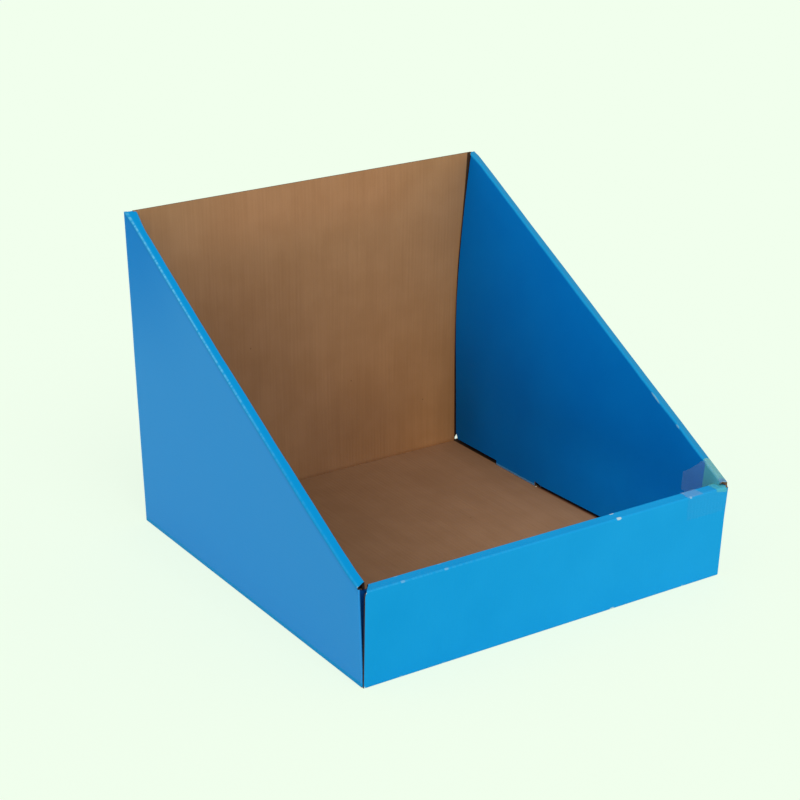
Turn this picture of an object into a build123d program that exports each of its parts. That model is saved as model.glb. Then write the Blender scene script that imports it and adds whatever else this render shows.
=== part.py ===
from build123d import *
from math import atan, cos, degrees, hypot, radians, sin, tan
import os

os.makedirs("parts", exist_ok=True)

# A counter display tray, folded from one die-cut sheet of corrugated board.
# X runs along the front, Y to the rear and Z up. The origin is the middle of the underside.

# Overall size, outside to outside
tray_width = 340.0
tray_depth = 365.0
back_height = 281.0
front_height = 79.0

# Board and creases. The clearance lies between layers that rest on each other.
board = 1.6
inner_fold = 0.6
clearance = 0.3

# Walls that roll over into a double thickness. A side's inner panel leans in towards its foot, by degrees.
side_wall = 7.0
side_lean = 2.1
front_wall = 11.0
front_inset = 0.8
corner_gap = 5.5
foot_gap = 3.4
rear_gap = 4.0

# Tabs at the feet of the inner panels
side_tab_length = 60.0
side_tab_spacing = 160.0
front_tab_length = 48.0
front_tab_spacing = 170.0

# Ears, trapped between the two panels of a rolled wall
front_ear_length = 75.0
rear_ear_length = 70.0
ear_corner = 5.0

# Relief at the back panel's lower corners, clear of the creases that meet there, and a hole beside it
relief_height = 5.0
hole_width = 3.5
hole_spacing = 312.0

# Clear film, stuck over the front right corner
film = 0.2
film_width = 40.0
film_drop = 20.0
film_reach = 46.0
film_climb = 26.0

half_width = tray_width / 2
front_face = -tray_depth / 2
rear_face = tray_depth / 2
outer_fold = inner_fold + board
mid_fold = inner_fold + board / 2
lap = 2 * board

# Where the layers stand
front_half = half_width - front_inset
inner_half = half_width - side_wall
ear_half = half_width - board - clearance
ear_front = front_face + board + clearance
side_front = ear_front + outer_fold
inner_front = front_face + front_wall
inner_start = inner_front + corner_gap
inner_rear = rear_face - board - rear_gap
foot = board + foot_gap
ear_top = front_height - board - clearance


# The sides' tops slope from the front wall's top up to the back panel's top.
rise = (back_height - front_height) / tray_depth
slope = atan(rise)
slope_length = hypot(tray_depth, back_height - front_height)
roll_plane = Plane(
    origin=(0, front_face, front_height),
    x_dir=(1, 0, 0),
    z_dir=(0, -cos(slope), -sin(slope)),
)
strip_depth = 2 * board / cos(slope)

# An inner panel is flat and hangs from a sloping crease, so its foot runs askew to the base's edge.
lean = tan(radians(side_lean))
lean_reach = lean * back_height
film_bend = inner_half - film / 2
tab_turn = degrees(atan(lean * sin(slope)))


def top_at(y):
    """Height of a side's sloping top."""
    return front_height + rise * (y - front_face)


def under_strip(y):
    """Height just below a side's strip and its creases."""
    return top_at(y) - strip_depth


def crease_end(y):
    """Height at which a side's panels meet the creases of its strip."""
    return top_at(y) - outer_fold / cos(slope)


def inner_face(y, z):
    """Distance from the middle to the face of a side's inner panel."""
    return inner_half - lean * cos(slope) * (top_at(y) - z)


def folded(*corners):
    """Section of the board, folded at the corners of its middle line."""
    with BuildLine() as middle:
        FilletPolyline(*corners, radius=mid_fold)
    trace(middle.line, line_width=board)


# Slots for the sides' tabs
with BuildSketch() as side_slots:
    for slot_place in (-side_tab_spacing / 2, side_tab_spacing / 2):
        with Locations((inner_face(slot_place, board) + board / 2, slot_place)):
            Rectangle(board + 2 * clearance, side_tab_length + 2 * clearance, rotation=tab_turn)
    mirror(about=Plane.YZ)

# Base, with a slot for each tab
with BuildPart() as base:
    with BuildSketch():
        Rectangle(tray_width - 2 * outer_fold, tray_depth - 2 * outer_fold)
        with Locations((0, inner_front - board / 2)):
            with GridLocations(front_tab_spacing, 0, 2, 1):
                Rectangle(front_tab_length + 2 * clearance, board + 2 * clearance, mode=Mode.SUBTRACT)
    extrude(amount=board)
    extrude(side_slots.sketch, amount=board, mode=Mode.SUBTRACT)

# The front wall's strip and inner panel end beside the sides' inner panels.
with BuildSketch(Plane.XY.offset(foot)) as front_ends:
    with BuildLine():
        Polyline(
            (inner_half - clearance, front_face + board),
            (inner_half - clearance, inner_front + lap),
            (half_width, inner_front + lap),
            (half_width, front_face + board),
            close=True,
        )
    make_face()
    mirror(about=Plane.YZ)

# Front wall: outer panel, top strip and inner panel, rolled over in one run
with BuildPart() as front_roll:
    with BuildSketch(Plane.YZ.offset(-front_half)):
        folded(
            (front_face + outer_fold + lap, board / 2),
            (front_face + board / 2, board / 2),
            (front_face + board / 2, front_height - board / 2),
            (inner_front - board / 2, front_height - board / 2),
            (inner_front - board / 2, foot),
        )
    extrude(amount=2 * front_half)
    extrude(front_ends.sketch, amount=front_height, mode=Mode.SUBTRACT)
    with BuildSketch(Plane.XZ.offset(-inner_front)):
        with Locations((0, (foot + clearance) / 2)):
            with GridLocations(front_tab_spacing, 0, 2, 1):
                Rectangle(front_tab_length, foot - clearance)
    extrude(amount=board)

# Left side: outer panel, sloping top strip and inner panel, rolled over in one run
with BuildPart() as side_roll:
    with BuildSketch(roll_plane.offset(back_height)):
        folded(
            (-half_width + board / 2, -back_height),
            (-half_width + board / 2, -board / 2),
            (-inner_half - board / 2, -board / 2),
            (-inner_half - board / 2 + lean_reach, -board / 2 - back_height),
        )
    extrude(amount=-slope_length - 2 * back_height)
    with BuildSketch(Plane.XZ.offset(-rear_face)):
        with BuildLine():
            Polyline(
                (-half_width, outer_fold),
                (-ear_half, outer_fold),
                (-ear_half, clearance),
                (0, clearance),
                (0, 2 * back_height),
                (-half_width, 2 * back_height),
                close=True,
            )
        make_face()
    extrude(amount=rear_face - side_front, mode=Mode.INTERSECT)
    # The inner panel stands clear of the front wall, of the base, apart from its tabs, and of the back panel.
    with BuildSketch(Plane.YZ.offset(-ear_half)):
        with BuildLine():
            Polyline(
                (side_front, 0),
                (side_front, under_strip(side_front)),
                (inner_start, under_strip(inner_start)),
                (inner_start, foot),
                (inner_rear, foot),
                (inner_rear, under_strip(inner_rear)),
                (rear_face, under_strip(rear_face)),
                (rear_face, 0),
                close=True,
            )
        make_face()
        with Locations((0, (foot + clearance) / 2)):
            with GridLocations(side_tab_spacing, 0, 2, 1):
                Rectangle(side_tab_length, foot - clearance, mode=Mode.SUBTRACT)
    extrude(amount=side_wall + lean_reach, mode=Mode.SUBTRACT)

# Left side's crease along the base
with BuildPart() as side_crease:
    with BuildSketch(Plane.XZ.offset(-rear_face)):
        folded(
            (-half_width + outer_fold + lap, board / 2),
            (-half_width + board / 2, board / 2),
            (-half_width + board / 2, outer_fold + lap),
        )
    extrude(amount=rear_face - side_front)

# Left side's front ear, trapped in the front wall
with BuildPart() as front_ear:
    with BuildSketch(Plane.XY.offset(board + clearance)):
        folded(
            (-half_width + board / 2, side_front + lap),
            (-half_width + board / 2, ear_front + board / 2),
            (-half_width + front_ear_length, ear_front + board / 2),
        )
    extrude(amount=ear_top - board - clearance)
    fillet(front_ear.edges().filter_by(Axis.Y).group_by(Axis.X)[-1], radius=ear_corner)

# Back panel, a single thickness
with BuildPart() as back_panel:
    with BuildSketch(Plane.YZ.offset(-inner_half)):
        folded(
            (rear_face - outer_fold - lap, board / 2),
            (rear_face - board / 2, board / 2),
            (rear_face - board / 2, back_height),
        )
    extrude(amount=2 * inner_half)
    with BuildSketch(Plane.XZ.offset(-rear_face)):
        with Locations((0, outer_fold + relief_height / 2)):
            with GridLocations(hole_spacing, 0, 2, 1):
                Rectangle(hole_width, relief_height)
    extrude(amount=board, mode=Mode.SUBTRACT)

# Back panel's left ear, trapped in the side
with BuildPart() as rear_ear:
    with BuildSketch(Plane.XY.offset(relief_height)):
        folded(
            (-inner_half + lap, rear_face - board / 2),
            (-ear_half + board / 2, rear_face - board / 2),
            (-ear_half + board / 2, rear_face - rear_ear_length),
        )
    extrude(amount=back_height)
    with BuildSketch(Plane.YZ.offset(-half_width)):
        with BuildLine():
            Polyline(
                (rear_face - rear_ear_length, 0),
                (rear_face, 0),
                (rear_face, under_strip(rear_face) - clearance),
                (rear_face - rear_ear_length, under_strip(rear_face - rear_ear_length) - clearance),
                close=True,
            )
        make_face()
    extrude(amount=half_width, mode=Mode.INTERSECT)
    fillet(rear_ear.edges().filter_by(Axis.X).group_by(Axis.Y)[0], radius=ear_corner)

# The folded sheet, in one piece
with BuildPart() as display_box:
    add(base.part)
    add(front_roll.part)
    add(back_panel.part)
    for left_piece in (side_roll, side_crease, front_ear, rear_ear):
        add(left_piece.part)
        mirror(left_piece.part, about=Plane.YZ)

display_box.part.label = "display_box"
export_step(display_box.part, "parts/display_box.step")

# Film over the front wall's outer panel and strip
with BuildPart() as film_on_front:
    with BuildSketch(Plane.YZ.offset(front_half - film_width)):
        with BuildLine():
            FilletPolyline(
                (front_face - film / 2, front_height - film_drop),
                (front_face - film / 2, front_height + film / 2),
                (inner_front, front_height + film / 2),
                radius=outer_fold + film / 2,
            )
        trace(line_width=film)
    extrude(amount=film_width)
    extrude(front_ends.sketch, amount=front_height, mode=Mode.SUBTRACT)

# Film over the right side's strip and inner panel
with BuildPart() as film_on_side:
    with BuildSketch(roll_plane):
        with BuildLine():
            FilletPolyline(
                (film_bend - lean * film_width, -film_width),
                (film_bend, film / 2),
                (half_width - outer_fold, film / 2),
                radius=outer_fold + film / 2,
            )
        trace(line_width=film)
    extrude(amount=-film_reach / cos(slope))
    with BuildSketch(Plane.YZ.offset(half_width)):
        with BuildLine():
            Polyline(
                (inner_start, front_height - film_drop),
                (front_face + film_reach, front_height - film_drop),
                (front_face + film_reach, front_height),
                (front_face + film_climb, crease_end(front_face + film_climb)),
                (front_face + film_climb, back_height),
                (side_front, back_height),
                (side_front, front_height),
                (inner_start, front_height),
                close=True,
            )
        make_face()
    extrude(amount=-half_width, mode=Mode.INTERSECT)

# The film in one piece
with BuildPart() as corner_film:
    add(film_on_front.part)
    add(film_on_side.part)

corner_film.part.label = "corner_film"
export_step(corner_film.part, "parts/corner_film.step")
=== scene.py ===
from math import atan, atan2, copysign, cos, exp, hypot, pi, radians, sin, tan

import bmesh
import bpy
from mathutils import Matrix, Vector, noise


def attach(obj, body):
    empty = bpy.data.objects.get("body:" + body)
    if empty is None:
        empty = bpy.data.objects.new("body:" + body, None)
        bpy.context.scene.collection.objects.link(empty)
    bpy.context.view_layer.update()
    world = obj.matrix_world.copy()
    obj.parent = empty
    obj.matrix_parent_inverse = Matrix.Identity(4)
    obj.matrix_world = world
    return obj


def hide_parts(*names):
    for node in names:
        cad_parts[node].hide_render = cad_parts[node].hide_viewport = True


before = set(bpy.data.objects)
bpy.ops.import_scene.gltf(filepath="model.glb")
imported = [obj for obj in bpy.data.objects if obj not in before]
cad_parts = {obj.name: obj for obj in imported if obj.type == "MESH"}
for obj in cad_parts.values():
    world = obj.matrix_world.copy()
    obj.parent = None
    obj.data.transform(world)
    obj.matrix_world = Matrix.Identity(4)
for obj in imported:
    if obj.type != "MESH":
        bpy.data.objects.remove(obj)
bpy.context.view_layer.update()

# Sizes in millimetres, as in the solid model
WIDTH, DEPTH, BACK, FRONT = 340.0, 365.0, 281.0, 79.0
BOARD, CLEARANCE = 1.6, 0.3
SIDE_WALL, SIDE_LEAN, FRONT_WALL, FRONT_INSET = 7.0, 2.1, 11.0, 0.8
CORNER_GAP, FOOT_GAP, REAR_GAP = 5.5, 3.4, 4.0
SIDE_TAB, SIDE_TAB_SPACING = 60.0, 160.0
FRONT_TAB, FRONT_TAB_SPACING = 48.0, 170.0
FRONT_EAR, REAR_EAR = 75.0, 70.0
RELIEF, HOLE, HOLE_SPACING = 5.0, 3.5, 312.0
# A crease is crushed: a sharp turn, with little of the board's thickness left inside it.
MID_FOLD, CRUSHED = 0.35, 0.2
# The sides' inner creases are rounder, and the feet of the inner panels stand a little higher than the drawing.
ROLL, FOOT_LIFT = 1.1, 0.4
FLUTE_PITCH = 3.4

HALF_BOARD = BOARD / 2
OUTER_FOLD = MID_FOLD + HALF_BOARD
HALF_WIDTH = WIDTH / 2
FRONT_FACE, REAR_FACE = -DEPTH / 2, DEPTH / 2
FRONT_HALF = HALF_WIDTH - FRONT_INSET
INNER_HALF = HALF_WIDTH - SIDE_WALL
EAR_HALF = HALF_WIDTH - BOARD - CLEARANCE
EAR_FRONT = FRONT_FACE + BOARD + CLEARANCE
SIDE_FRONT = EAR_FRONT + OUTER_FOLD
INNER_FRONT = FRONT_FACE + FRONT_WALL
INNER_START = INNER_FRONT + CORNER_GAP
INNER_REAR = REAR_FACE - BOARD - REAR_GAP
FOOT = BOARD + FOOT_GAP + FOOT_LIFT
EAR_TOP = FRONT - BOARD - CLEARANCE
BASE_X = HALF_WIDTH - OUTER_FOLD
BASE_Y = REAR_FACE - OUTER_FOLD
RISE = (BACK - FRONT) / DEPTH
SLOPE = atan2(BACK - FRONT, DEPTH)
SIN, COS = sin(SLOPE), cos(SLOPE)

LEAN_RISE = tan(radians(SIDE_LEAN)) * COS

# Meshing: steps round a crease, the first row beside it, and the panels' grid
ARC_STEPS, SUPPORT, PANEL_STEP = 4, 1.2, 6.5
# Half of the way round a crease, on the middle surface
CREASE_MID = 0.28
# Edges that turn by more than this look sharp.
SHARP = radians(38)
# Millimetres that one unit of a flat map stands for
UV_MM = 2000.0


def top_at(y):
    """Height of a side's sloping top."""
    return FRONT + RISE * (y - FRONT_FACE)


def mix(a, b, t):
    return a + (b - a) * t


def smooth(t):
    t = clip(t, 0.0, 1.0)
    return t * t * (3 - 2 * t)


def clip(value, low, high):
    return min(max(value, low), high)


def spaced(low, high, step, also=()):
    """Stations from low to high about a step apart, with the ends and the others asked for among them."""
    stops = sorted({low, high, *(a for a in also if low < a < high)})
    out = []
    for a, b in zip(stops, stops[1:]):
        count = max(1, round((b - a) / step))
        out += [mix(a, b, i / count) for i in range(count)]
    return out + [high]


# How the real tray has given. The side walls' tops have moved to the right by this much, at the front and the rear,
LEFT_TOP, RIGHT_TOP = (0.0, -0.7), (5.9, 9.9)
# and to the rear by this much. Below zero is to the left, or forward.
LEFT_BACK, RIGHT_BACK = (-1.6, -2.4), (-3.6, -1.7)
# The left wall's belly, over its whole length and in its front half
LEFT_BELLY, FRONT_BELLY = -2.2, -1.1
# The left outer panel runs past the back panel, its front edge slants to the rear, and its rear end is drawn in.
LEFT_OVERRUN, LEFT_EDGE, LEFT_END_IN = 3.6, 2.4, 2.2
# Rise of the strips inwards: the left one's at the front and the rear, then the right one's
STRIP_TILT = (0.36, 0.2, 0.27, 0.37)
# A strip's middle dips by this much.
STRIP_DIP = 0.15


def moved_x(x, v, h):
    """How far a point has moved to the right, v of the way to the rear and h of the way up."""
    u = clip((x + HALF_WIDTH) / WIDTH, 0, 1)
    late = mix(h, smooth((h - 0.25) / 0.75) * 0.8 + 0.2 * h, u * v)
    belly = LEFT_BELLY * sin(pi * v) + FRONT_BELLY * smooth(v / 0.06) * smooth((0.5 - v) / 0.4)
    belly *= h * h * (1 - u) ** 4
    return mix(mix(*LEFT_TOP, v), mix(*RIGHT_TOP, v), u) * late + belly


def given(p):
    """A point of the straight tray, moved to where the real one has it."""
    x, y, z = p
    u = clip((x + HALF_WIDTH) / WIDTH, 0, 1)
    v = clip((y - FRONT_FACE) / DEPTH, 0, 1)
    h = clip(z / top_at(y), 0, 1.02)
    dy = mix(mix(*LEFT_BACK, v), mix(*RIGHT_BACK, v), u) * h
    return Vector((x + moved_x(x, v, h), y + dy, z))


def uneven(p):
    """How far a panel stands proud of flat."""
    return (0.22 * noise.noise(p * 0.014) + 0.1 * noise.noise(p * 0.045)) * smooth((p.z - 1) / 12)


def waver(y, wall):
    """The inner crease's own waves, along the slope."""
    return 0.5 * noise.noise(Vector((y * 0.045, wall, 0))) + 0.3 * noise.noise(Vector((y * 0.13, wall, 5)))


class Sheet:
    """The board's middle surface, gathered panel by panel, then given its thickness."""

    def __init__(self, thickness):
        self.half = thickness / 2
        self.points, self.normals, self.inner, self.outer, self.index, self.faces = [], [], [], [], {}, []

    def vertex(self, point, normal):
        key = tuple(round(c * 200) for c in point)
        if key not in self.index:
            self.index[key] = len(self.points)
            self.points.append(Vector(point))
            self.normals.append(Vector(normal[:3]).normalized())
            self.inner.append(normal[3] if len(normal) > 3 else self.half)
            self.outer.append(normal[4] if len(normal) > 4 else self.half)
        return self.index[key]

    def grid(self, rows):
        """Rows of corners. Each corner is (point, normal, place on the flat blank, place beside the nearest crease).

        After a normal can come the sheet's reach behind it and before it, where that isn't half.
        """
        for low, high in zip(rows, rows[1:]):
            for j in range(len(low) - 1):
                self.face([low[j], low[j + 1], high[j + 1], high[j]])

    def face(self, corners):
        kept = []
        for corner in corners:
            number = self.vertex(corner[0], corner[1])
            if all(number != other[0] for other in kept):
                kept.append((number, corner[2], corner[3]))
        if len(kept) < 3:
            return
        a, b, c = (self.points[k[0]] for k in kept[:3])
        facing = (b - a).cross(c - b)
        if facing.length < 1e-6:
            return
        if facing.dot(self.normals[kept[0][0]]) < 0:
            kept.reverse()
        self.faces.append(kept)

    def solid(self, name):
        """A closed mesh with three materials: printed face, bare face and cut edge."""
        count = len(self.points)
        thickness = 2 * self.half
        proud = [uneven(p) for p in self.points]
        verts = [given(p + n * (o + e)) * 0.001 for p, n, o, e in zip(self.points, self.normals, self.outer, proud)]
        verts += [given(p - n * (i - e)) * 0.001 for p, n, i, e in zip(self.points, self.normals, self.inner, proud)]
        faces, slots, blanks, folds = [], [], [], []
        used = {}
        for kept in self.faces:
            for one, two in zip(kept, kept[1:] + kept[:1]):
                used.setdefault(frozenset((one[0], two[0])), []).append((one, two))
            for slot, corners in enumerate((kept, kept[::-1])):
                faces.append([k[0] + slot * count for k in corners])
                slots.append(slot)
                blanks += [k[1] for k in corners]
                folds += [k[2] for k in corners]
        for pair in used.values():
            if len(pair) != 1:
                continue
            one, two = pair[0]
            faces.append([two[0], one[0], one[0] + count, two[0] + count])
            slots.append(2)
            # The flutes run along the blank's second axis, so a cut crosses them by the first.
            for corner, level in ((two, 1), (one, 1), (one, 0), (two, 0)):
                blanks.append((corner[1][0], level * thickness))
                folds.append(corner[2])
        mesh = bpy.data.meshes.new(name)
        mesh.from_pydata(verts, [], faces)
        for title, values in (("Blank", blanks), ("Fold", folds)):
            layer = mesh.uv_layers.new(name=title)
            flat = [c / UV_MM for value in values for c in value]
            layer.uv.foreach_set("vector", flat)
        mesh.polygons.foreach_set("material_index", slots)
        mesh.polygons.foreach_set("use_smooth", [True] * len(faces))
        work = bmesh.new()
        work.from_mesh(mesh)
        for edge in work.edges:
            edge.smooth = edge.calc_face_angle(0) < SHARP
        work.to_mesh(mesh)
        work.free()
        mesh.update()
        return mesh


# Along-crease places start a long way apart for each wall, so that a material can tell the walls apart.
LEFT_WALL, FRONT_WALL_AT, RIGHT_WALL, BACK_WALL_AT = 400.0, 900.0, 1400.0, 1900.0
WALLS = {-1: LEFT_WALL, 1: RIGHT_WALL}

SIDE_TAB_ENDS = [s * SIDE_TAB_SPACING / 2 + t * SIDE_TAB / 2 for s in (-1, 1) for t in (-1, 1)]
SIDE_STOPS = (SIDE_FRONT + 0.7, SIDE_FRONT + 2, SIDE_FRONT + 5, INNER_FRONT + 0.8, INNER_START, INNER_REAR, BASE_Y)
Y_STATIONS = spaced(SIDE_FRONT, REAR_FACE, 4.5, also=(*SIDE_STOPS, *SIDE_TAB_ENDS))
# The hole by each lower corner of the back is torn a little wider outwards.
HOLE_OUT = 2.3
HOLE_ENDS = [s * (HOLE_SPACING / 2 + t) for s in (-1, 1) for t in (-HOLE / 2, HOLE_OUT)]
FRONT_TAB_ENDS = [s * FRONT_TAB_SPACING / 2 + t * FRONT_TAB / 2 for s in (-1, 1) for t in (-1, 1)]
WIDTH_STOPS = [s * a for s in (-1, 1) for a in (BASE_X, BASE_X - 2, BASE_X - 4, BASE_X - 6, INNER_HALF)]
X_STATIONS = spaced(-FRONT_HALF, FRONT_HALF, PANEL_STEP, also=(*WIDTH_STOPS, *HOLE_ENDS, *FRONT_TAB_ENDS))
OUTER_END = top_at(SIDE_FRONT) - OUTER_FOLD / COS
EAR_LEVELS = spaced(OUTER_FOLD, EAR_TOP, PANEL_STEP, also=(OUTER_FOLD + SUPPORT,))
PANEL_SHARES = [(z - OUTER_FOLD) / (OUTER_END - OUTER_FOLD) for z in EAR_LEVELS]
# A rear ear ends this far below a side's top.
EAR_BELOW = BOARD / COS + 0.2
EAR_ROOF = top_at(REAR_FACE - HALF_BOARD) - EAR_BELOW
HOLE_TOP = OUTER_FOLD + SUPPORT + RELIEF
BACK_LEVELS = spaced(OUTER_FOLD, BACK, PANEL_STEP, also=(OUTER_FOLD + SUPPORT, RELIEF, HOLE_TOP, EAR_ROOF))


def quarter(first=0):
    """The turn's angles round a crease, a quarter of a circle."""
    return [i / ARC_STEPS * pi / 2 for i in range(first, ARC_STEPS + 1)]


def near(distance):
    """A distance from a crease, as far as the materials need it."""
    return clip(distance, -30.0, 30.0)


def tilt(sign, y):
    """A strip slopes down outwards, and is held level by the back panel at its rear end."""
    front_left, rear_left, front_right, rear_right = STRIP_TILT
    if sign < 0:
        return mix(front_left, rear_left, smooth((y + 140) / 200)) * smooth((REAR_FACE - y + 12) / 50)
    return mix(front_right, rear_right, smooth((y - 60) / 80)) * smooth((REAR_FACE - y + 3) / 24)


def inner_crease_at(sign, y):
    """Height of the middle of a side's inner crease, where its inner panel starts."""
    return top_at(y) - (HALF_BOARD + ROLL) / COS + tilt(sign, y) * SIDE_WALL


def foot_at(y):
    """Height of an inner panel's foot, nearer to the base in front of the rear tab."""
    return FOOT - 1.4 * smooth((48 - y) / 6)


def strip_start(sign, x):
    """Front end of a side's strip, cut a little askew."""
    inward = clip((HALF_WIDTH - x) / SIDE_WALL, 0, 1)
    return SIDE_FRONT + (mix(2.2, 3.6, inward) if sign < 0 else mix(0.9, 1.2, inward))


def bulge(s):
    """The rear end of the right inner panel stands upright to above a third of its height, then leans out."""
    return 0.09 * s if s < 0.38 else 0.035 + 0.965 * ((s - 0.38) / 0.62) ** 1.6


# The right inner panel's foot runs straight from the rear to FOOT_FROM, then curves outwards by FOOT_GAIN.
FOOT_X, FOOT_GAIN, FOOT_FROM, FOOT_TO, CURVE = 153.2, 7.8, 60.0, -171.0, 1.15


def inner_x(sign, y, z, crease):
    """Middle of an inner panel, before the tray gives."""
    top = INNER_HALF + HALF_BOARD
    if sign < 0:
        return top - LEAN_RISE * max(crease - z, 0)
    v = (y - FRONT_FACE) / DEPTH
    low = FOOT_X + FOOT_GAIN * clip((FOOT_FROM - y) / (FOOT_FROM - FOOT_TO), 0, 1) ** CURVE + HALF_BOARD
    s = clip(z / crease, 0, 1)
    high = top + moved_x(top, v, crease / top_at(y))
    seen = mix(low, high, mix(s, bulge(s), smooth(v * 1.6)))
    # The place that the give moves to where it is seen, in three rounds
    x = top
    for _ in range(3):
        x = seen - moved_x(x, v, z / top_at(y))
    return x


def side_blank(y, z, over):
    """Where a point of the right wall lies on the flat blank, over away from its strip's outer crease."""
    along = (y - FRONT_FACE) * COS + (z - FRONT) * SIN
    return BASE_X + FRONT + along * SIN + over * COS, FRONT_FACE + along * COS - over * SIN


def side_beside(kind, z, walk, over):
    """Place beside the nearest crease, for a point of a side wall."""
    if kind == "low":
        return near(walk)
    if kind == "outer":
        return near(min(z - HALF_BOARD, -over)) if z < 40 else near(-over)
    if kind == "inner":
        return near(over - walk + STRIP_END - INNER_MID)
    if kind == "tab":
        return TAB_AT + z - BOARD
    if kind == "strip":
        return near(min(walk - CREASE_MID, INNER_MID - walk) + 0.001)
    return near(walk - CREASE_MID if walk < 2 else walk - INNER_MID)


def at_rear(y, run):
    """From 0 to 1 over the last stretch before the rear face."""
    return smooth((y - REAR_FACE + run) / run)


def side_row(sign, kind, x, level, normal, walk, ys, y_low, y_high):
    """One row of a rolled side. walk is the way from the strip's outer crease, along the sheet, across the slope."""
    row = []
    for y in ys:
        y = clip(y, y_low, y_high)
        crease = top_at(y) - OUTER_FOLD / COS
        inner_crease = inner_crease_at(sign, y)
        if kind in ("low", "tab"):
            z = level
        elif kind == "outer":
            z = mix(OUTER_FOLD, crease, level)
        elif kind == "inner":
            z = mix(inner_crease, foot_at(y), level)
        else:
            z = top_at(y) + level / COS + tilt(sign, y) * clip(HALF_WIDTH - x, 0, SIDE_WALL)
        if kind in ("low", "outer"):
            over = -(top_at(y) - z) * COS
        elif kind in ("inner", "tab"):
            over = walk + (inner_crease - z) * COS
        else:
            over = walk
        blank_x, blank_y = side_blank(y, z, over)
        beside = side_beside(kind, z, walk, over)
        late = 0
        if sign < 0 and kind in ("outer", "bend"):
            late = LEFT_OVERRUN * clip((x - BASE_X) / MID_FOLD, 0, 1) * z / BACK * at_rear(y, 14)
        if sign < 0 and kind == "outer" and level < 1:
            late += LEFT_EDGE * z / FRONT * clip((SIDE_FRONT + 6 - y) / 6, 0, 1)
        px = x
        if kind in ("inner", "tab"):
            px = inner_x(sign, y, z, inner_crease)
        elif sign < 0 and kind != "low":
            px -= LEFT_END_IN * at_rear(y, 22) * clip((HALF_WIDTH - HALF_BOARD - x) / 5, 0, 1)
        elif kind in ("outer", "bend", "strip"):
            px -= at_rear(y, 5) * clip((x - INNER_HALF - 1) / 5, 0, 1) * smooth((z / crease - 0.9) / 0.1)
        if kind == "inner" or x < HALF_WIDTH - SIDE_WALL / 2:
            z += waver(y, WALLS[sign]) * (exp((z - inner_crease) / 5) if kind == "inner" else 1)
        place = (sign * px, y + late, z)
        row.append((place, (sign * normal[0], *normal[1:]), (sign * blank_x, blank_y), (WALLS[sign] + y, beside)))
    return row


STRIP_IN, STRIP_OUT = INNER_HALF + HALF_BOARD + ROLL, BASE_X
STRIP_END = (MID_FOLD + ROLL) * pi / 2 + STRIP_OUT - STRIP_IN
INNER_MID = STRIP_END - ROLL * pi / 4
TAB_AT = 60.0


def side(sheet, sign):
    """A side wall: crease at the base, outer panel, sloping strip, inner panel and its tabs."""
    up = (0.0, -SIN, COS)
    full = (SIDE_FRONT, REAR_FACE)
    rows = []

    def add(kind, x, level, normal, walk, limits):
        rows.append(side_row(sign, kind, x, level, normal, walk, Y_STATIONS, *limits))

    for a in quarter():
        place = (BASE_X + MID_FOLD * sin(a), OUTER_FOLD - MID_FOLD * cos(a))
        add("low", *place, (sin(a), 0, -cos(a), CRUSHED), MID_FOLD * (a - pi / 4), full)
    panel_x = HALF_WIDTH - HALF_BOARD
    below, beside = (1 - d / (OUTER_END - OUTER_FOLD) for d in (2 * SUPPORT, SUPPORT))
    for share in [*[s for s in PANEL_SHARES[1:] if s < below], below]:
        add("outer", panel_x, share, (1, 0, 0), 0, full)
    add("outer", panel_x, beside, (1, 0, 0), 0, (SIDE_FRONT + (0.7 if sign > 0 else 0), REAR_FACE))
    add("outer", panel_x, 1.0, (1, 0, 0, CRUSHED), 0, (strip_start(sign, HALF_WIDTH), REAR_FACE))

    for a in quarter(1):
        x = STRIP_OUT + MID_FOLD * cos(a)
        normal = (cos(a), up[1] * sin(a), up[2] * sin(a), CRUSHED)
        add("bend", x, -OUTER_FOLD + MID_FOLD * sin(a), normal, MID_FOLD * a, (strip_start(sign, x), REAR_FACE))
    bend = MID_FOLD * pi / 2 + STRIP_OUT
    tipped = (STRIP_TILT[2], up[1], up[2])
    for i in range(1, 5):
        x = mix(STRIP_OUT - SUPPORT, STRIP_IN + 0.5, (i - 1) / 3)
        level = -HALF_BOARD - STRIP_DIP * sin(pi * i / 5)
        add("strip", x, level, tipped, bend - x, (strip_start(sign, x), REAR_FACE))
    # The inner crease ends in front of the back panel.
    rear_top = REAR_FACE - BOARD - 1.3
    for i, a in enumerate(quarter()):
        x = STRIP_IN - ROLL * sin(a)
        normal = (-sin(a), up[1] * cos(a), up[2] * cos(a))
        limits = (strip_start(sign, x), mix(REAR_FACE, rear_top, i / ARC_STEPS))
        add("bend", x, -HALF_BOARD - ROLL + ROLL * cos(a), normal, bend - STRIP_IN + ROLL * a, limits)
    inner = INNER_HALF + HALF_BOARD
    # The rear gap widens downwards, and the panel's lower rear corner is clipped.
    for share in (0.006, 0.016, 0.07, *[s for s in PANEL_SHARES[2:] if s < 0.97], 0.98, 1.0):
        start = INNER_START
        if sign < 0:
            start = strip_start(sign, inner) + 0.2 if share < 0.08 else INNER_FRONT + 0.8
        clipped = 3 if share == 1 else 0
        add("inner", inner, share, (-1, 0, 0), STRIP_END, (start, mix(rear_top, INNER_REAR, share) - clipped))
    sheet.grid(rows)
    for centre in (-SIDE_TAB_SPACING / 2, SIDE_TAB_SPACING / 2):
        low, high = centre - SIDE_TAB / 2, centre + SIDE_TAB / 2
        ys = [y for y in Y_STATIONS if low - 1e-6 <= y <= high + 1e-6]
        rows = []
        for kind, level in (("inner", 1.0), ("tab", BOARD + 1.2), ("tab", CLEARANCE)):
            rows.append(side_row(sign, kind, inner, level, (-1, 0, 0), STRIP_END, ys, low, high))
        sheet.grid(rows)


# The front wall's top stands in from the sides by this much at its left and right end.
FRONT_SLIDE = (2.5, -2.3)
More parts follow.
